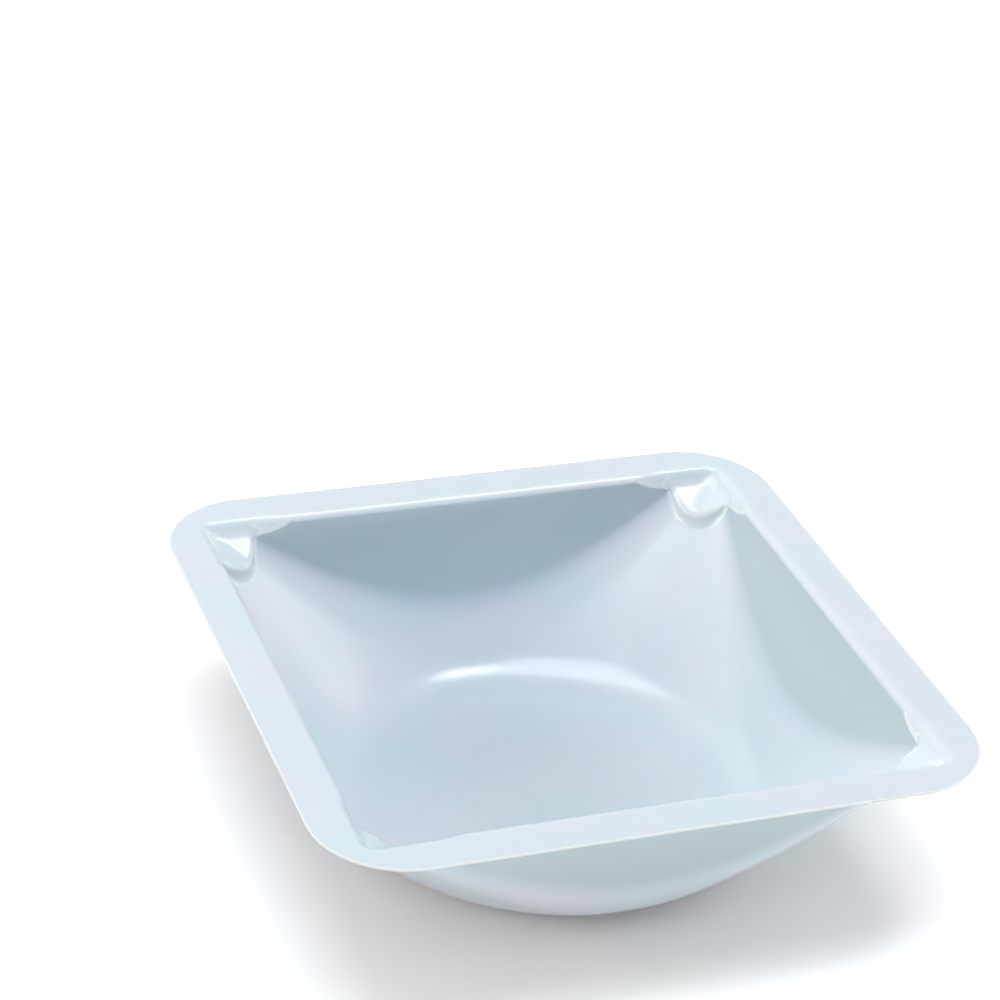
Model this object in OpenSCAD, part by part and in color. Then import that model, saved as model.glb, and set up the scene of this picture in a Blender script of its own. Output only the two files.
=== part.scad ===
// Square weighing boat: one sheet of polystyrene drawn into a shallow dish.
// The sheet is a flat rim, four drafted walls and a round-heeled cone that
// cuts the walls into lenses and runs up into four pouring corners. Each
// corner ends under the rim in a small pocket that keeps stacked boats apart.
// The dish stands on the XY plane, centred on the Z axis, with its rim on top.

/* [Sheet] */
// Thickness of the drawn sheet
sheet_t = 0.3; // [0.2:0.05:0.6]

/* [Rim] */
// Outer width of the square rim
rim_w = 89; // [86:1:110]
// Radius of the rim's outer corners
rim_corner_r = 12; // [6:1:20]
// Width of the opening, wall to wall, at the level of the rim
opening_w = 76.6; // [72:0.2:78]
// Radius of the bend from the rim into the walls, on the upper face
bend_r = 1; // [0.7:0.1:1.5]

/* [Bowl] */
// Overall height from the foot to the top of the rim
boat_h = 25; // [22:1:28]
// Lean of the four walls from the vertical
wall_draft = 12; // [8:1:16]
// Diameter of the flat foot
foot_d = 48; // [40:1:54]
// Radius of the heel between the floor and the pouring corners
heel_r = 10; // [5:1:14]
// Slope of the pouring corners from the horizontal
chute_slope = 44; // [40:1:46]

/* [Corner pockets] */
// Distance from the middle of the boat to a pocket's front face
pocket_reach = 47.2; // [46.5:0.1:48.5]
// Radius of the pocket's front face, in plan
nose_r = 6; // [5:0.5:9]
// Depth of the pocket's floor under the rim, along its walls
pocket_depth = 1.5; // [1.2:0.1:2]
// Slope of the pocket's two floor facets from the horizontal
pocket_slope = 30; // [25:1:32]
// Width of the ledge where the pocket stands outside the walls
ledge_w = 0.5; // [0.3:0.1:0.8]
// Distance along a wall, from the middle of the boat, where the ledge has faded out
ledge_end = 26; // [24:0.5:26.5]
// Length over which the ledge fades out
ledge_fade = 4; // [3:0.5:5]

/* [Hidden] */
$fn = 96;

half_w = opening_w / 2;                     // middle of the boat to a wall, at the rim
reach = rim_w;                              // longer than anything it cuts
above = 1;                                  // how far the hollow runs past the rim
overlap = sheet_t / 2;                      // how far the bowl's skin runs into the rim
lip_in = 1;                                 // how far a pocket's plan runs into the hollow

// Every surface below is drawn at a distance out from the dish's upper face:
// out = 0 is the hollow itself, out = sheet_t is the dish's underside.
function top_z(out) = out == 0 ? boat_h + above : boat_h - out + overlap;

// Centre of the bend for a wall that meets the rim's level at x = w
function bend_x(w) = w + bend_r * (1 - sin(wall_draft)) / cos(wall_draft);

// A wall's place at height z, for a wall that meets the rim's level at x = w
function wall_x(w, z, out) = w + out / cos(wall_draft) - (boat_h - z) * tan(wall_draft);

// Foot of a pocket's wall, where the sloping floor starts
pocket_w = half_w + ledge_w;
pocket_foot_x = wall_x(pocket_w, boat_h - pocket_depth, 0);

// Drop of the pocket's floor under the rim at x = 0, were it to run that far
function floor_drop(out) = pocket_depth + pocket_foot_x * tan(pocket_slope) + out / cos(pocket_slope);

// Where the pocket's wall and floor meet on the skin at distance out
function floor_x(out) =
    (pocket_w + out / cos(wall_draft) - floor_drop(out) * tan(wall_draft))
    / (1 - tan(wall_draft) * tan(pocket_slope));
function floor_z(out) = boat_h - floor_drop(out) + floor_x(out) * tan(pocket_slope);

// Section across the boat: two leaning walls that bend out into the rim.
// foot lists the points of the right half below the bend.
module section(w, foot, out) {
    bend = [bend_x(w), boat_h - bend_r];
    r = bend_r - out;
    right = concat(foot, [
        bend + r * [-cos(wall_draft), sin(wall_draft)],
        bend,
        [bend.x, top_z(out)],
    ]);
    difference() {
        for (side = [0, 1])
            mirror([side, 0])
                polygon(concat([[-overlap, foot[0].y]], right, [[-overlap, top_z(out)]]));
        for (side = [-1, 1])
            translate([side * bend.x, bend.y])
                circle(r = r);
    }
}

// A section run along both axes: what the two runs share is square in plan
module crossed() {
    intersection() {
        rotate([90, 0, 0])
            linear_extrude(height = reach, center = true)
                children();
        rotate([90, 0, 90])
            linear_extrude(height = reach, center = true)
                children();
    }
}

// Half section of the round floor, heel and cone
module bowl_profile(out) {
    heel = [foot_d / 2, sheet_t + heel_r];
    r = heel_r + out;
    rise = heel + r * [sin(chute_slope), -cos(chute_slope)];
    wide = r / cos(chute_slope / 2);
    polygon([
        [0, sheet_t - out],
        [heel.x, sheet_t - out],
        rise,
        [rise.x + (top_z(out) - rise.y) / tan(chute_slope), top_z(out)],
        [0, top_z(out)],
    ]);
    intersection() {
        translate(heel)
            circle(r = r);
        polygon(concat([heel], [
            for (part = [0, 0.5, 1])
                heel + wide * [sin(part * chute_slope), -cos(part * chute_slope)]
        ]));
    }
}

// Plan of the round nose that stands in a corner of the bowl and carries its pocket
module nose_plan(out) {
    r = nose_r - out;
    rotate(45)
        translate([pocket_reach + nose_r, 0]) {
            circle(r = r);
            translate([0, -r / 2])
                square([reach, r]);
        }
}

// The bowl without its corner pockets, ending at the nose in each corner
module bowl(out) {
    difference() {
        intersection() {
            crossed()
                section(half_w, [[wall_x(half_w, -above, out), -above]], out);
            rotate_extrude()
                bowl_profile(out);
        }
        for (turn = [0:90:270])
            rotate([0, 0, turn])
                linear_extrude(height = 2 * boat_h)
                    nose_plan(out);
    }
}

// Plan of one corner pocket, with the ledges that fade out along both walls
module pocket_plan(out) {
    wall = half_w + out / cos(wall_draft);
    inside = half_w - lip_in;
    shoulder = (pocket_reach - out) * sqrt(2) - half_w;
    one_side = [
        [shoulder, inside],
        [ledge_end - out, inside],
        [ledge_end - out, wall],
        [ledge_end + ledge_fade - out, wall + ledge_w],
        [ledge_end + ledge_fade - out, reach],
    ];
    other_side = [for (i = [len(one_side) - 1:-1:0]) [one_side[i].y, one_side[i].x]];
    polygon(concat(one_side, [[reach, reach]], other_side));
}

// The four corner pockets: steep walls over a floor of two facets
module pockets(out) {
    intersection() {
        crossed()
            section(pocket_w, [[0, boat_h - floor_drop(out)], [floor_x(out), floor_z(out)]], out);
        for (turn = [0:90:270])
            rotate([0, 0, turn])
                linear_extrude(height = 2 * boat_h)
                    pocket_plan(out);
    }
}

// Outline of the rim
module rim_outline() {
    straight = rim_w - 2 * rim_corner_r;
    square([rim_w, straight], center = true);
    square([straight, rim_w], center = true);
    for (x = [-1, 1], y = [-1, 1])
        translate([x, y] * straight / 2)
            circle(r = rim_corner_r);
}

module dish() {
    color([0.93, 0.95, 0.98])
        difference() {
            union() {
                translate([0, 0, boat_h - sheet_t])
                    linear_extrude(height = sheet_t)
                        rim_outline();
                bowl(sheet_t);
                pockets(sheet_t);
            }
            bowl(0);
            pockets(0);
        }
}

dish();
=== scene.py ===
# %% [markdown]
# # A square weighing boat
#
# A weighing boat is one thin sheet of white polystyrene. It is warmed until it is soft and then
# drawn down into a mould by a vacuum. What comes out is a flat rim, four leaning walls, a round
# flat floor, and four corners that run up like chutes so that powder can be poured from them.
# Under the rim, each corner has a small pocket that keeps stacked boats from sticking together.
#
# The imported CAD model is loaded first. It is the fixed frame: it says how large the boat is and
# where it stands, and every size below that the frame can give is read from it.

import math

import bmesh
import bpy
import numpy as np
from mathutils import Matrix, Vector


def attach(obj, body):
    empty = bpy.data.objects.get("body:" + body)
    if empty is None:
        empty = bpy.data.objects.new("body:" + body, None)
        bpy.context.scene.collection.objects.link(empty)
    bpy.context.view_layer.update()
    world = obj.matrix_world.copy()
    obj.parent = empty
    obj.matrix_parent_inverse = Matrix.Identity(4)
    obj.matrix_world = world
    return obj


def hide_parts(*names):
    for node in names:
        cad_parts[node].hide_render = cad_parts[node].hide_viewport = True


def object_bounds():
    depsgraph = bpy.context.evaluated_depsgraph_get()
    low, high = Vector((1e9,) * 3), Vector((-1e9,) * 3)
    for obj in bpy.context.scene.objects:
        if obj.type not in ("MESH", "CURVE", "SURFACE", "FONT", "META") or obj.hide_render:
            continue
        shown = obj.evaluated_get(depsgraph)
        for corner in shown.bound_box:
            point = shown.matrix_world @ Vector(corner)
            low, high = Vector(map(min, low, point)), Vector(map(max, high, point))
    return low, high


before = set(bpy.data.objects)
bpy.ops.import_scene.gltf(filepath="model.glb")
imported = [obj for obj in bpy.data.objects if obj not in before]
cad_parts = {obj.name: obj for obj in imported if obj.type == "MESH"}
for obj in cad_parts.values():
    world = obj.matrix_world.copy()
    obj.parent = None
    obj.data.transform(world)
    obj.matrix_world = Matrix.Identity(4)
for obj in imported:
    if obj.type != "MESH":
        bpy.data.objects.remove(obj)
cad_low, cad_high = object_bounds()
MM = 0.001
rim_width = (cad_high.x - cad_low.x) / MM
height = cad_high.z / MM
print(f"the boat is {rim_width:.1f} mm square and {height:.1f} mm high")

# %% [markdown]
# ## The shape of the mould
#
# The sheet ends up wherever the mould is, so the mould comes first. It could be modelled as
# another solid, but a formula is easier to press a sheet against. Each face of the mould is
# written as a distance: how far a point is beyond that face, in millimetres, negative on the
# open side. A wall is a plane, so its distance is a sum of two products. The floor, the heel and
# the chutes are one turned shape, so their distance needs only the radius and the height.
#
# Where two faces meet, the sheet can't follow a sharp corner. `rounded` joins two distances
# with a true arc of a given radius, as a fillet does.

# %% Sizes of the mould, in millimetres
sheet_thickness = 0.3
rim_corner_radius = 12.0
opening_half = 38.3  # middle of the boat to a wall, at the level of the rim
wall_lean = math.radians(12)
bend_radius = 1.0  # rim into wall
crease_radii = (4.0, 1.2)  # wall into chute, at the floor and at the rim
foot_radius = 24.0
heel_radius = 10.0
chute_slope = math.radians(44)
pocket_reach = 47.2  # middle of the boat to a pocket's front face, along the diagonal
nose_radius = 6.0  # of that front face, in plan
pocket_depth = 1.5
pocket_slope = math.radians(30)
ledge_width = 0.5
ledge_end = 26.0
ledge_fade = 4.0
pocket_corner_radius = 1.6  # wall into wall
valley_radius = 0.9  # facet into facet
pocket_floor_radius = 1.0  # walls into the floor
lip_radius = 0.8
lip_ends = (4.0, 5.5)  # off the diagonal, where the lip over the nose gives way to the ledge
nose_foot_radius = 0.5
floor_level = sheet_thickness
DIAGONAL = math.sqrt(2)
print(f"the opening is {2 * opening_half:.1f} mm wide and the rim {rim_width / 2 - opening_half:.1f} mm")


# %% Join two faces with an arc
def rounded(a, b, radius):
    """Distance beyond both faces where their corner is an arc of this radius."""
    corner = np.hypot(np.maximum(a + radius, 0), np.maximum(b + radius, 0))
    return corner + np.minimum(np.maximum(a, b), -radius)


print("a point 1 mm inside both faces of a 2 mm arc is", rounded(-1.0, -1.0, 2.0).round(2), "mm beyond it")


# %% The walls and the turned bowl
def wall(across, half_width, z):
    """Distance beyond a leaning wall."""
    lean_in = (height - z) * math.tan(wall_lean)
    return (across - half_width + lean_in) * math.cos(wall_lean)


def turned_bowl(r, z):
    """Distance beyond the floor, the heel and the cone that the chutes are part of."""
    out, down = r - foot_radius, floor_level + heel_radius - z
    turn = np.arctan2(out, down)
    heel = np.hypot(out, down) - heel_radius
    cone = out * math.sin(chute_slope) + down * math.cos(chute_slope) - heel_radius
    floor = floor_level - z
    beyond_heel = (turn > chute_slope) | (down <= 0)
    return np.where(out <= 0, floor, np.where(beyond_heel, cone, heel))


print("the bowl's floor is", turned_bowl(0.0, floor_level), "mm from a point on it")

# %% [markdown]
# ## The corner pockets
#
# A pocket is a second, shallow mould face in each corner. Its walls stand half a millimetre
# outside the bowl's walls, so a fine ledge runs out along both walls and fades away. Its floor
# is a valley of two facets. The bowl ends under it in a round nose that stands in the corner,
# which leaves the lip that the next boat in a stack catches on.


# %% The pockets and the whole hollow
def ledge(along):
    """How far a pocket's wall stands outside the bowl's wall, at a place along that wall."""
    part = np.clip((along - ledge_end) / ledge_fade, 0, 1)
    return ledge_width * part * part * (3 - 2 * part)


pocket_foot = opening_half + ledge_width - pocket_depth * math.tan(wall_lean)


def facet(across, z):
    """Distance beyond one facet of a pocket's floor."""
    surface = height - pocket_depth - (pocket_foot - across) * math.tan(pocket_slope)
    return (surface - z) * math.cos(pocket_slope)


def nose(diagonal, across):
    """Distance beyond a nose's front face, a cylinder that stands on the corner's diagonal."""
    return nose_radius - np.hypot(diagonal - pocket_reach - nose_radius, across)


def plain_bowl(x, y, z):
    """Distance beyond the bowl as it would be without pockets."""
    walls = np.maximum(wall(np.abs(x), opening_half, z), wall(np.abs(y), opening_half, z))
    crease_radius = np.interp(z, [floor_level, height], crease_radii)
    return rounded(walls, turned_bowl(np.hypot(x, y), z), crease_radius)


def hollow(x, y, z):
    """Distance beyond the boat's hollow: negative in the air, positive in the mould."""
    x, y = np.abs(x), np.abs(y)
    diagonal, across = (x + y) / DIAGONAL, (x - y) / DIAGONAL
    bowl = rounded(plain_bowl(x, y, z), nose(diagonal, across), nose_foot_radius)
    walls = rounded(
        wall(x, opening_half + ledge(y), z), wall(y, opening_half + ledge(x), z), pocket_corner_radius
    )
    valley = rounded(facet(x, z), facet(y, z), valley_radius)
    pocket = rounded(walls, valley, pocket_floor_radius)
    pocket = np.maximum(pocket, (ledge_end + opening_half) / DIAGONAL - diagonal)
    on_nose = np.interp(np.abs(across), lip_ends, [1, 0])
    ledge_radius = ledge(np.minimum(x, y)) / 2
    return -rounded(-bowl, -pocket, on_nose * lip_radius + (1 - on_nose) * ledge_radius)


def mould(x, y, z):
    """Distance above the mould's face, rim included: negative inside the mould."""
    return rounded(z - height, -hollow(x, y, z), bend_radius)


print("the middle of the floor lies", mould(0.0, 0.0, floor_level).round(3), "mm off the mould")

# %% [markdown]
# ## Drawing the sheet down
#
# The sheet starts as a flat disc of rings, made by spinning a row of points about the middle.
# Spinning gives clean rings and spokes, which later carry the light smoothly round the boat.
# A square grid would be simpler, but its lines would cross the chutes and the lips at a slant
# and leave small steps in the highlights.
#
# Each point is then sent down a straight line from a focus above the boat until it meets the
# mould. The steep walls face such a focus far better than they face straight up, so the rings
# stay evenly spread on them. `stations` names the places that a spoke passes on its way in,
# from the cut edge to the middle, so that rings lie exactly along every bend and lip.

# %% Lines from the focus
focus_above = 20.0
quarter = math.pi / 2


def seen_from_focus(r, z):
    """Where the line from the focus to a point crosses the level of the rim."""
    return r * focus_above / (focus_above + height - z)


def from_side(azimuth):
    """Angle of a spoke from the middle of the side that it crosses, 0 to 45 degrees."""
    return np.abs((azimuth + quarter / 2) % quarter - quarter / 2)


print(f"the foot's edge is seen {seen_from_focus(foot_radius, floor_level):.1f} mm from the middle")

# %% Stations on the rim and its bend
trim = 0.3  # the cut edge to the next station
wall_tangent, wall_cosine = math.tan(wall_lean), math.cos(wall_lean)
bend_depth = bend_radius * (1 - math.sin(wall_lean))


def rim_radius(azimuth):
    """Middle of the boat to the cut edge, along a spoke."""
    a = from_side(azimuth)
    half, inner = rim_width / 2, rim_width / 2 - rim_corner_radius
    straight = half / np.cos(a)
    toward = inner * (np.cos(a) + np.sin(a))
    in_arc = straight * np.sin(a) > inner
    arc = toward + np.sqrt(np.maximum(toward**2 - 2 * inner**2 + rim_corner_radius**2, 0))
    return np.where(in_arc, arc, straight)


def wall_top(azimuth):
    """Middle of a side to its wall at the level of the rim, where a spoke crosses it."""
    return opening_half + ledge(opening_half * np.tan(from_side(azimuth)))


def rim_stations(azimuth):
    """The cut edge, the trim, and the start and end of the bend."""
    side = np.cos(from_side(azimuth))
    edge = rim_radius(azimuth)
    bend_centre = wall_top(azimuth) + bend_depth / wall_cosine
    bend_end = seen_from_focus((bend_centre - bend_radius * wall_cosine) / side, height - bend_depth)
    return [edge, edge - trim, bend_centre / side, bend_end]


print(f"the rim reaches {rim_radius(quarter / 2):.1f} mm out at a corner")

# %% Stations at the ledges and the lips
ledge_level = height - pocket_depth
pocket_starts = math.radians(36)  # from the middle of a side
pocket_fades_in = math.radians(4)
lip_off_wall = 1.2  # the walls' top to the lip, at least
lip_step = 0.3  # the lip to the station under it, towards the middle
lip_drop = 0.4  # the lip down to that station, at least
above_chute = 0.6  # the chute up to that station
under_ledge = 1.0  # the ledge down to the next station, where there is no pocket
under_rim = 4.0  # the rim down to the one after it, where there is no pocket
chute_tangent = math.tan(chute_slope)
cone_start = foot_radius + heel_radius * math.tan(chute_slope / 2)


def nose_front(azimuth):
    """Middle of the boat to the front of a nose, along a spoke."""
    turn = quarter / 2 - from_side(azimuth)
    nose_middle = pocket_reach + nose_radius
    to_axis = np.minimum(nose_middle * np.sin(turn), nose_radius)
    return nose_middle * np.cos(turn) - np.sqrt(nose_radius**2 - to_axis**2)


def down_the_wall(azimuth, depth):
    """A place on the plain wall, this deep under the rim."""
    r = (opening_half - depth * wall_tangent) / np.cos(from_side(azimuth))
    return seen_from_focus(r, height - depth)


def lip_stations(azimuth):
    """The back of the ledge, the lip, and the place under the lip."""
    a = from_side(azimuth)
    side = np.cos(a)
    ledge_back = seen_from_focus((wall_top(azimuth) - pocket_depth * wall_tangent) / side, ledge_level)

    lip_r = np.minimum(nose_front(azimuth), (opening_half - lip_off_wall) / side)
    lip_level = ledge_level - (pocket_foot - lip_r * side) * math.tan(pocket_slope)
    chute_level = floor_level + (lip_r - cone_start) * chute_tangent
    under_level = np.minimum(np.maximum(chute_level + above_chute, floor_level), lip_level - lip_drop)

    in_pocket = np.clip((a - pocket_starts) / pocket_fades_in, 0, 1)
    plain = 1 - in_pocket
    lip = in_pocket * seen_from_focus(lip_r, lip_level)
    lip += plain * down_the_wall(azimuth, pocket_depth + under_ledge)
    under_lip = in_pocket * seen_from_focus(lip_r - lip_step, under_level)
    under_lip += plain * down_the_wall(azimuth, under_rim)
    return [ledge_back, lip, under_lip]


print(f"a nose's front is {nose_front(quarter / 2):.1f} mm from the middle")

# %% Stations in the bowl
nose_foot_depth = 6.6  # rim to the foot of a pocket's front face
crease_band = 1.5


def bowl_stations(azimuth, under_lip):
    """Three places round the crease, the ends of the heel, and the middle."""
    side = np.cos(from_side(azimuth))
    rise = (opening_half / side - height * wall_tangent / side - cone_start) * chute_tangent
    rise = rise / (1 - wall_tangent * chute_tangent / side)
    crease_level = np.minimum(rise + floor_level, height - nose_foot_depth)
    crease_r = cone_start + (crease_level - floor_level) / chute_tangent
    crease = seen_from_focus(crease_r, crease_level)

    heel_r = foot_radius + heel_radius * math.sin(chute_slope)
    heel_level = floor_level + heel_radius * (1 - math.cos(chute_slope))
    heel = np.full_like(crease, seen_from_focus(heel_r, heel_level))
    foot = np.full_like(crease, seen_from_focus(foot_radius, floor_level))
    above_crease = np.minimum(crease + crease_band, (crease + under_lip) / 2)
    under_crease = np.maximum(crease - crease_band, (crease + heel) / 2)
    return [above_crease, crease, under_crease, heel, foot, np.zeros_like(crease)]


def stations(azimuth):
    """Every named place along each spoke, from the cut edge to the middle."""
    lips = lip_stations(azimuth)
    return np.stack(rim_stations(azimuth) + lips + bowl_stations(azimuth, lips[-1]))


rings_after = {  # rings from each station to the next one inwards
    "edge": 2,
    "trim": 6,
    "bend start": 9,
    "bend end": 8,
    "ledge": 15,
    "lip": 13,
    "under lip": 14,
    "above crease": 8,
    "crease": 8,
    "under crease": 9,
    "heel": 9,
    "foot": 6,
}
side_now, corner_now = stations(np.radians([0.0, 45.0])).T
for name, at_side, at_corner in zip([*rings_after, "middle"], side_now, corner_now):
    print(f"{name:>12}: {at_side:5.1f} mm at a side, {at_corner:5.1f} mm at a corner")

# %% Spin a row of points into a disc of rings and spokes
spokes_per_eighth = 50
spokes = 8 * spokes_per_eighth
rings = sum(rings_after.values())
sheet = bmesh.new()
row = [sheet.verts.new((ring, 0, 0)) for ring in range(rings + 1)]
links = [sheet.edges.new(pair) for pair in zip(row, row[1:])]
bmesh.ops.spin(
    sheet, geom=row + links, cent=(0, 0, 0), axis=(0, 0, 1), angle=2 * math.pi, steps=spokes, use_merge=True
)
bmesh.ops.remove_doubles(sheet, verts=sheet.verts[:], dist=0.01)
print(f"a disc of {rings} rings and {spokes} spokes: {len(sheet.verts)} points")


# %% Spread the spokes and the rings
share_of_spokes = [0, 0.22, 0.28, 0.84, 1]  # of those between a side and a corner
turned_by = np.radians([0, 31, 34, 41.5, 45])  # so more than half cross a pocket's edges


def spoke_azimuth(spoke):
    """Azimuth of a spoke: they stand closer together round the corners."""
    eighth, part = np.divmod(spoke % spokes, spokes_per_eighth)
    part = part / spokes_per_eighth
    to_corner = eighth % 2 == 0
    turn = np.interp(np.where(to_corner, part, 1 - part), share_of_spokes, turned_by)
    return eighth * quarter / 2 + np.where(to_corner, turn, quarter / 2 - turn)


flat = np.array([v.co[:2] for v in sheet.verts])
ring = np.rint(np.hypot(*flat.T))
spoke = np.rint(np.arctan2(flat[:, 1], flat[:, 0]) / (2 * math.pi) * spokes)
azimuth = spoke_azimuth(spoke)
marks = stations(azimuth)
station_rings = rings - np.cumsum([0, *rings_after.values()])
place = np.interp(ring, station_rings[::-1], np.arange(len(station_rings))[::-1])
before = np.minimum(place.astype(int), len(station_rings) - 2)
each = np.arange(len(ring))
crossing = marks[before, each] + (place - before) * (marks[before + 1, each] - marks[before, each])
print(f"rings cross the rim's level from {crossing.max():.1f} mm out to the middle")


# %% Press every point down to the mould
halvings = 45  # each halves the span that the mould's face lies in


def press(crossing, azimuth):
    """Points where the lines from the focus meet the mould's face."""
    high = np.full(len(crossing), height + 1.0)
    low = np.full(len(crossing), floor_level - 1.0)
    for _ in range(halvings):
        z = (high + low) / 2
        r = crossing * (focus_above + height - z) / focus_above
        above = mould(r * np.cos(azimuth), r * np.sin(azimuth), z) > 0
        high, low = np.where(above, z, high), np.where(above, low, z)
    r = crossing * (focus_above + height - z) / focus_above
    return np.stack([r * np.cos(azimuth), r * np.sin(azimuth), z], axis=1)


drawn = press(crossing, azimuth)
for vert, spot in zip(sheet.verts, drawn):
    vert.co = Vector(spot) * MM
bmesh.ops.recalc_face_normals(sheet, faces=sheet.faces[:])
if sum(face.normal.z * face.calc_area() for face in sheet.faces) < 0:
    bmesh.ops.reverse_faces(sheet, faces=sheet.faces[:])
print(f"drawn to {drawn[:, 2].min():.2f} mm above the bench")

# %% [markdown]
# ## Thickness and the cut edge
#
# The pressed mesh is the face that lay on the mould's inside, the one that touches what is
# weighed. The Solidify modifier adds the underside 0.3 mm further out. Even thickness keeps the
# wall true where it bends, and an offset of -1 leaves the pressed face where it is. A Bevel
# modifier then breaks the sharp edge of the cut, so that it catches a thin line of light.

# %% Make the sheet a piece
mesh = bpy.data.meshes.new("dish_sheet")
sheet.to_mesh(mesh)
sheet.free()
dish = bpy.data.objects.new("dish_sheet", mesh)
bpy.context.scene.collection.objects.link(dish)
mesh.shade_smooth()
thick = dish.modifiers.new("thickness", "SOLIDIFY")
thick.thickness = sheet_thickness * MM
thick.offset = -1
thick.use_even_offset = True
edge = dish.modifiers.new("cut edge", "BEVEL")
edge.width = 0.06 * MM
edge.segments = 2
edge.limit_method = "ANGLE"
edge.angle_limit = math.radians(60)
edge.harden_normals = True
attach(dish, "root")
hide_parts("dish")
print(f"{len(mesh.polygons)} faces before the thickness")

# %% [markdown]
# ## What the sheet remembers
#
# Four things about the making are stored on the points of the mesh, for the finish to read.
# `flat` is where a point lay on the flat sheet. A pattern that reads it is pulled down the walls
# with the plastic. `thinned` tells how far the sheet was stretched. A soft sheet sinks nearly
# straight down, so it is stretched most where the mould is steepest, and the measure is how level
# the mould is there: 1 on the rim and the floor, 0.7 in the chutes and 0.2 on the walls. The
# small nose in a corner doesn't thin the sheet on its own, so the bowl without pockets counts too.
# The finish darkens the steep walls by it, partly for the thinner sheet and partly as painted
# shade on walls that hardly face the lamps.
#
# The fold mask is 1 where the sheet turns sharply, because polystyrene goes whiter along a fold;
# its white also paints the highlight that a sharp fold catches. The front of a nose gets the same
# white as painted light that lifts its shade: there the mould is much steeper than the bowl
# without pockets would be. `cut` is 1 along the edge where the knife trimmed and whitened the
# sheet, and that white is also a painted highlight along the edge.
#
# Such masks could be painted by hand. The mould's distance gives them without a brush: its rise
# with height is the level, and how fast that rise changes in all directions is the fold.


# %% How level the mould is, and how sharply it turns
def levelness(face, x, y, z):
    """Rise of a face's distance with height: 1 or -1 where it lies flat, 0 where it stands."""
    step = 0.1
    return (face(x, y, z + step) - face(x, y, z - step)) / (2 * step)


def turning(face, x, y, z):
    """How sharply a face turns, as one over the radius of the turn in millimetres."""
    step = 0.2
    around = face(x + step, y, z) + face(x - step, y, z)
    around += face(x, y + step, z) + face(x, y - step, z)
    around += face(x, y, z + step) + face(x, y, z - step)
    return np.abs(around - 6 * face(x, y, z)) / step**2


bend_turning = turning(mould, 0.0, opening_half + bend_radius / 2, height - bend_radius / 10)
print("the bend turns with a radius of", (1 / bend_turning).round(1), "mm")

# %% Store the attributes
flat_place = np.stack([crossing * np.cos(azimuth), crossing * np.sin(azimuth), 0 * crossing], axis=1)
here = drawn.T
level = np.maximum(levelness(mould, *here), -levelness(plain_bowl, *here))
thinned = np.clip(level, 0, 1)
softest_fold, hardest_fold = 0.8, 1.8  # one over the radius in millimetres
# folds: partly the real whitening of polystyrene, partly a painted highlight along each sharp fold
fold_and_highlight = np.clip((turning(mould, *here) - softest_fold) / (hardest_fold - softest_fold), 0, 1)
# painted light: the fronts of the noses, steeper than the bowl without pockets, get the fold white to
# lighten their shade
painted_nose_light = -levelness(plain_bowl, *here) - levelness(mould, *here)
fold_and_highlight = np.maximum(fold_and_highlight, np.clip(painted_nose_light, 0, 1))
for name, kind, values in [
    ("flat", "FLOAT_VECTOR", flat_place * MM),
    ("thinned", "FLOAT", thinned),
    ("fold_and_highlight", "FLOAT", fold_and_highlight),
    ("cut", "FLOAT", (ring >= rings - 1).astype(float)),
]:
    attribute = mesh.attributes.new(name, kind, "POINT")
    attribute.data.foreach_set("vector" if kind == "FLOAT_VECTOR" else "value", values.ravel())
print(f"the sheet lies between {thinned.min():.2f} and {thinned.max():.2f} level")
print(f"{np.mean(fold_and_highlight > 0.5):.0%} of the points lie on a fold")

# %% [markdown]
# ## The finish
#
# Polystyrene this thin is white but not opaque. Light goes in, scatters off the white pigment,
# and part of it comes out on the other side. A plain diffuse surface would leave the underside
# far too dark, so the Principled shader's subsurface scattering does this. The warm end of the
# light travels a little further, which leaves the lit side a cool white.
#
# The rest is small: clouds in the pigment, streaks where the sheet was pulled down the walls,
# painted shade on the steep walls, a faint orange peel from the mould, and the whitened folds and
# cut edge, whose white is partly painted highlight. Each is a mask or a height worked out from
# noise on object coordinates or on the stored attributes.

# %% Start the material
finish = bpy.data.materials.new("polystyrene")
finish.use_nodes = True
tree = finish.node_tree
shader = tree.nodes["Principled BSDF"]
shader.inputs["IOR"].default_value = 1.59
shader.inputs["Subsurface Weight"].default_value = 1.0
shader.inputs["Subsurface Radius"].default_value = (1.05, 1.0, 0.95)
shader.inputs["Subsurface Scale"].default_value = 0.0008
mesh.materials.append(finish)
print(f"light travels about {shader.inputs['Subsurface Scale'].default_value / MM:.1f} mm in the sheet")


# %% Helpers for nodes
def node(kind, links=(), **settings):
    """Add a node to the tree at hand: links fill its inputs, settings are its properties."""
    made = tree.nodes.new(kind)
    for key, value in settings.items():
        setattr(made, key, value)
    for socket, value in dict(links).items():
        if isinstance(value, bpy.types.NodeSocket):
            tree.links.new(value, made.inputs[socket])
        else:
            made.inputs[socket].default_value = value
    return made


def noise(place, scale, detail=2.0):
    """Noise of about one blob to every 1/scale metres, as a value around a half."""
    wanted = {"Vector": place, "Scale": scale, "Detail": detail}
    return node("ShaderNodeTexNoise", wanted).outputs["Fac"]


def between(value, low, high, low_out=0.0, high_out=1.0):
    """Stretch a value from one range to another and stop at the ends."""
    wanted = {"Value": value, "From Min": low, "From Max": high, "To Min": low_out, "To Max": high_out}
    return node("ShaderNodeMapRange", wanted).outputs["Result"]


def blend(factor, first, second):
    """Mix two colours."""
    wanted = {0: factor, 6: first, 7: second}
    return node("ShaderNodeMix", wanted, data_type="RGBA").outputs[2]


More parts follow.
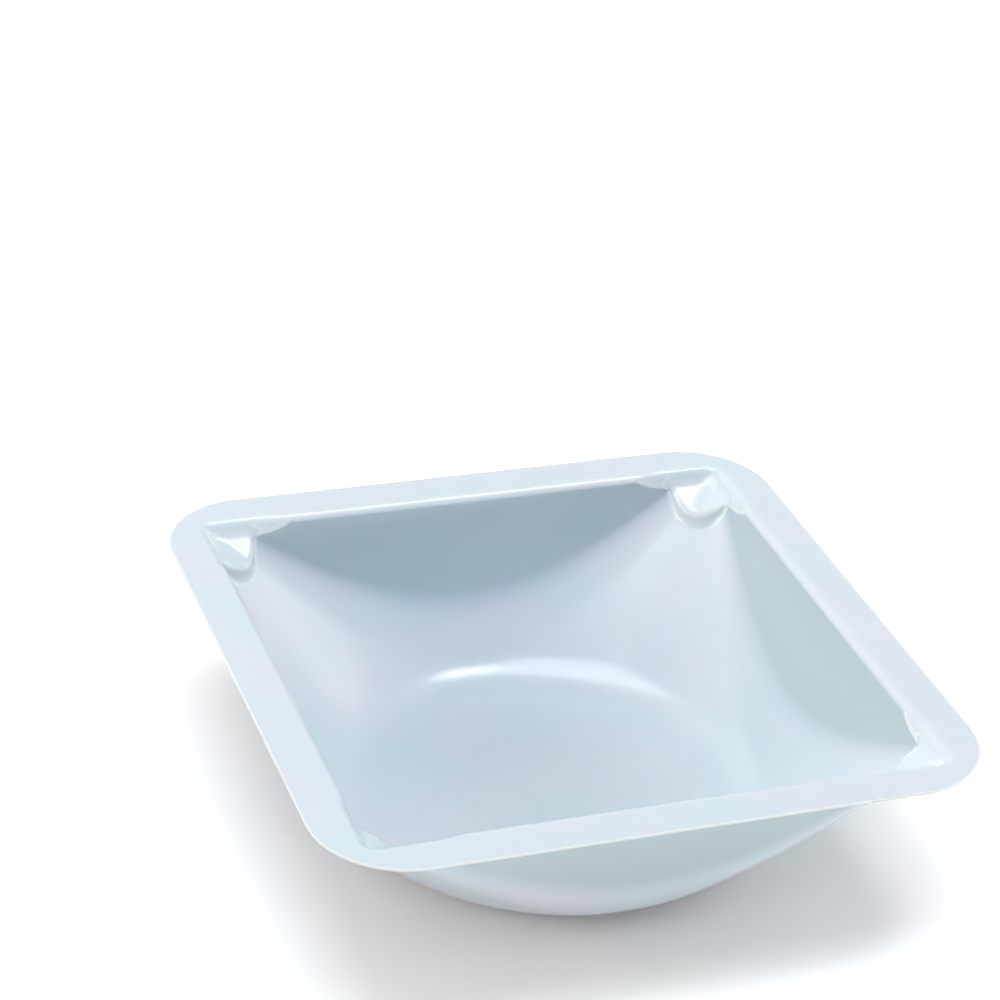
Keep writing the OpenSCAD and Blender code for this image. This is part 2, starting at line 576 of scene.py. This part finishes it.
object_place = node("ShaderNodeTexCoord").outputs["Object"]
flat_vector = node("ShaderNodeAttribute", attribute_name="flat").outputs["Vector"]
thin = node("ShaderNodeAttribute", attribute_name="thinned").outputs["Fac"]
fold_and_highlight = node("ShaderNodeAttribute", attribute_name="fold_and_highlight").outputs["Fac"]
cut = node("ShaderNodeAttribute", attribute_name="cut").outputs["Fac"]
print("the material reads the place, the flat place, the thinning, the folds and the cut")

# %% [markdown]
# ## Clouds, streaks, folds and the cut edge
#
# The clouds are wide and weak: two cool whites that differ by less than a tenth. The streaks need
# a pattern that is fine round the boat and long from rim to floor. Noise has no direction of its
# own, so its coordinates get one. The flat place is normalised, which keeps only the direction
# of the spoke, and that is scaled up until neighbouring spokes differ. How far along the spoke a
# point lies is added as a slow third coordinate. An angle would do as well, but it has a seam.
#
# The whitened folds and the cut edge, whose white is partly painted highlight, come last, so that
# no cloud or streak shows through them.

# %% Clouds in the pigment
lavender_white = (0.735, 0.765, 0.91, 1)
cyan_white = (0.66, 0.79, 0.89, 1)
cloud_scale = 55.0
clouds = between(noise(object_place, cloud_scale), 0.35, 0.65)
colour = blend(clouds, lavender_white, cyan_white)
print("clouds between", lavender_white[:3], "and", cyan_white[:3])

# %% Streaks down the walls, and painted shade on them
spokes_round = 60.0
lengthwise = 60.0  # changes to the metre along a spoke
direction = node("ShaderNodeVectorMath", {0: flat_vector}, operation="NORMALIZE").outputs["Vector"]
fine = node("ShaderNodeVectorMath", {0: direction, "Scale": spokes_round}, operation="SCALE")
fine_round = fine.outputs["Vector"]
along = node("ShaderNodeVectorMath", {0: flat_vector}, operation="LENGTH").outputs["Value"]
along_slow = node("ShaderNodeMath", {0: along, 1: lengthwise}, operation="MULTIPLY").outputs["Value"]
lift = node("ShaderNodeCombineXYZ", {"Z": along_slow}).outputs["Vector"]
pulled = node("ShaderNodeVectorMath", {0: fine_round, 1: lift}, operation="ADD").outputs["Vector"]
stretched = between(thin, 1.0, 0.5)
streaks = noise(pulled, 1.0, 3.0)
streak = node("ShaderNodeMath", {0: streaks, 1: stretched}, operation="MULTIPLY").outputs["Value"]
# painted shade: the steep walls go towards a darker white, partly for the thinner sheet and partly for the
# shade of walls that hardly face the lamps
thinned_and_shaded_white = (0.54, 0.64, 0.69, 1)
colour = blend(between(thin, 0.7, 0.2), colour, thinned_and_shaded_white)
colour = blend(between(streak, 0.45, 0.75, 0.0, 0.2), colour, thinned_and_shaded_white)
print("streaks finer than", round(2 * math.pi * opening_half / spokes_round, 1), "mm at the walls")

# %% Whitened folds and the cut edge, partly painted highlight
# the fold white is partly real whitening and partly painted highlight; on the fronts of the noses it is
# painted light over their shade
fold_white_and_highlight = (0.83, 0.93, 1.0, 1)
# the cut edge's white: partly the knife's whitening, partly a painted highlight along the edge
cut_white_and_highlight = (0.84, 0.93, 1.0, 1)
colour = blend(fold_and_highlight, colour, fold_white_and_highlight)
colour = blend(cut, colour, cut_white_and_highlight)
tree.links.new(colour, shader.inputs["Base Color"])
print("folds go up to", fold_white_and_highlight[:3], "and the cut edge to", cut_white_and_highlight[:3])

# %% Gloss and the orange peel
gloss_scale, peel_scale, wave_scale = 180.0, 700.0, 160.0
wave_height = 4.0  # times the peel's
relief_depth = 0.003 * MM
glossiest, dullest = 0.19, 0.25
gloss = between(noise(object_place, gloss_scale, 3.0), 0.3, 0.7, glossiest, dullest)
duller_cut = between(cut, 0.0, 1.0, 1.0, 1.1)
gloss = node("ShaderNodeMath", {0: gloss, 1: duller_cut}, operation="MULTIPLY").outputs["Value"]
tree.links.new(gloss, shader.inputs["Roughness"])
peel = noise(object_place, peel_scale, 2.0)
wide = noise(object_place, wave_scale, 1.0)
waves = node("ShaderNodeMath", {0: wide, 1: wave_height}, operation="MULTIPLY").outputs["Value"]
relief = node("ShaderNodeMath", {0: peel, 1: waves}, operation="ADD").outputs["Value"]
relief = node("ShaderNodeMath", {0: relief, 1: streak}, operation="ADD").outputs["Value"]
bump = node("ShaderNodeBump", {"Height": relief, "Strength": 1.0, "Distance": relief_depth})
tree.links.new(bump.outputs["Normal"], shader.inputs["Normal"])
print(f"relief of {relief_depth / MM:.3f} mm to each step of the height")

# %% [markdown]
# ## The floor
#
# The boat stands on a white sheet of paper. A camera would need a lot of light to show paper as
# pure white, and that light would burn out the boat. So the paper glows a little for the rays
# that the camera, a reflection or a clear thing sends, and stays plain paper for the light that
# it throws back on the boat. The glow is weakest round the foot and grows outwards, where the
# lamps' light falls off, so the boat's own shadow is kept and the rest is an even white.
#
# Seen from below, the paper is clear, so the underside can be looked at. It lies a hair under
# the foot: two faces in one place would flicker where they are seen together.

# %% Make the floor
floor_half = 3  # metres
floor_mesh = bpy.data.meshes.new("bench")
bm = bmesh.new()
under_the_foot = Matrix.Translation((0, 0, -0.02 * MM))
bmesh.ops.create_grid(bm, x_segments=1, y_segments=1, size=floor_half, matrix=under_the_foot)
bm.to_mesh(floor_mesh)
bm.free()
bench = bpy.data.objects.new("bench", floor_mesh)
bpy.context.scene.collection.objects.link(bench)
paper = bpy.data.materials.new("paper")
paper.use_nodes = True
tree = paper.node_tree
matte = tree.nodes["Principled BSDF"]
matte.inputs["Roughness"].default_value = 1.0
matte.inputs["Specular IOR Level"].default_value = 0.0
floor_mesh.materials.append(paper)
print(f"the floor is {2 * floor_half} m wide")


# %% White for the camera, plain paper for the boat
foot_glow, far_glow = 0.06, 0.45
glow_range = (0.03, 0.062)  # metres from the boat's middle


def seen_directly():
    """1 for the rays that the camera, a reflection or a clear thing sends."""
    path = node("ShaderNodeLightPath").outputs
    wanted = {0: path["Is Camera Ray"], 1: path["Is Glossy Ray"]}
    first = node("ShaderNodeMath", wanted, operation="MAXIMUM").outputs["Value"]
    wanted = {0: first, 1: path["Is Transmission Ray"]}
    return node("ShaderNodeMath", wanted, operation="MAXIMUM").outputs["Value"]


seen = seen_directly()
paper_white = blend(seen, (0.9, 0.9, 0.9, 1), (1, 1, 1, 1))
tree.links.new(paper_white, matte.inputs["Base Color"])
floor_place = node("ShaderNodeTexCoord").outputs["Object"]
away = node("ShaderNodeVectorMath", {0: floor_place}, operation="LENGTH").outputs["Value"]
paper_glow = between(away, *glow_range, foot_glow, far_glow)
glow = node("ShaderNodeMath", {0: seen, 1: paper_glow}, operation="MULTIPLY").outputs["Value"]
tree.links.new(glow, matte.inputs["Emission Strength"])
matte.inputs["Emission Color"].default_value = (1, 1, 1, 1)
clear = node("ShaderNodeBsdfTransparent").outputs["BSDF"]
below = node("ShaderNodeNewGeometry").outputs["Backfacing"]
surface = node("ShaderNodeMixShader", {0: below, 1: matte.outputs["BSDF"], 2: clear}).outputs["Shader"]
tree.links.new(surface, tree.nodes["Material Output"].inputs["Surface"])
print(f"the paper glows by {foot_glow} round the foot and by {far_glow} away from it")

# %% [markdown]
# ## The camera
#
# The camera stands in front of the boat, a little to the left, and looks down on it at about
# 30 degrees. A long lens from nearly half a metre keeps the far rim from shrinking, as a product
# picture does. `direction_to` turns two angles into a direction, for the camera here and for
# the lamps below. `to_track_quat` then turns the camera's Z axis to point back along its view,
# because a camera looks down its own -Z.

# %% Camera
aim = Vector((4.36, 36.32, 25.0)) * MM
distance = 0.4438
azimuth_left = math.radians(21.62)
elevation = math.radians(29.61)
roll = math.radians(4.60)
lens = bpy.data.cameras.new("camera")
lens.lens = 112.2
lens.clip_start = 0.01
camera = bpy.data.objects.new("camera", lens)
bpy.context.scene.collection.objects.link(camera)


def direction_to(left, up):
    """The direction from the boat to something seen left of the front and above the floor."""
    return Vector((-math.sin(left) * math.cos(up), -math.cos(left) * math.cos(up), math.sin(up)))


back = direction_to(azimuth_left, elevation)
turn = back.to_track_quat("Z", "Y").to_matrix().to_4x4() @ Matrix.Rotation(roll, 4, "Z")
camera.matrix_world = Matrix.Translation(aim + back * distance) @ turn
bpy.context.scene.camera = camera
print(f"the camera stands {distance / MM:.0f} mm from the point that it looks at")

# %% [markdown]
# ## The light
#
# Pale glossy plastic is shaped by large soft lamps. The one overhead does most of the work: it
# fills the rim, the floor and the chutes, and leaves the steep walls darker, because they hardly
# face it. The smaller one high on the right draws the bright line along the bend of the far wall.
# The large one behind lifts the wall and the chute that face it. The lamps low at the sides open
# up the walls across from them, and the small one low in front reaches in under the rim.
#
# Each lamp has a tint. The light from above is cool and the light from the sides is a little
# warm, so a surface changes hue as it turns, as it does in a room with a window.
#
# The world is nearly dark for the boat's own light, but white for the rays that look at it, so
# that reflections and the backdrop stay clean. The Standard view transform shows each colour as
# written. No lamp is so strong that the pale rim reaches full white, so its colour and its soft
# shading survive.

# %% The room
room_light = 0.02
world = bpy.data.worlds.new("room")
world.use_nodes = True
tree = world.node_tree
seen = seen_directly()
tree.links.new(between(seen, 0.0, 1.0, room_light, 1.0), tree.nodes["Background"].inputs["Strength"])
tree.nodes["Background"].inputs["Color"].default_value = (1, 1, 1, 1)
bpy.context.scene.world = world
bpy.context.scene.view_settings.view_transform = "Standard"
print("the room lights the boat with a strength of", room_light)

# %% The lamps
softboxes = [
    # name, left of the front, up, distance, size, power, colour
    ("overhead", 100, 83, 0.8, 0.5, 3.6, (0.86, 0.95, 1.0)),
    ("right_high", -90, 70, 0.8, 0.2, 1.5, (0.97, 0.965, 1.0)),
    ("back_left", 150, 35, 0.8, 0.8, 0.7, (1.0, 0.94, 0.86)),
    ("left_low", 90, 20, 0.8, 0.4, 2.8, (1.0, 0.89, 0.78)),
    ("right_low", -90, 20, 0.8, 0.4, 1.0, (1.0, 0.89, 0.80)),
    ("front_low", -40, 2, 0.8, 0.05, 2.3, (1.0, 0.95, 0.80)),
]
for name, left, up, distance, size, power, tint in softboxes:
    data = bpy.data.lights.new(name, "AREA")
    data.energy = power
    data.size = size
    data.color = tint
    lamp = bpy.data.objects.new(name, data)
    bpy.context.scene.collection.objects.link(lamp)
    out = direction_to(math.radians(left), math.radians(up))
    lamp.location = out * distance
    lamp.rotation_euler = out.to_track_quat("Z", "Y").to_euler()
print(f"{len(softboxes)} lamps of {sum(box[5] for box in softboxes):.1f} W together")
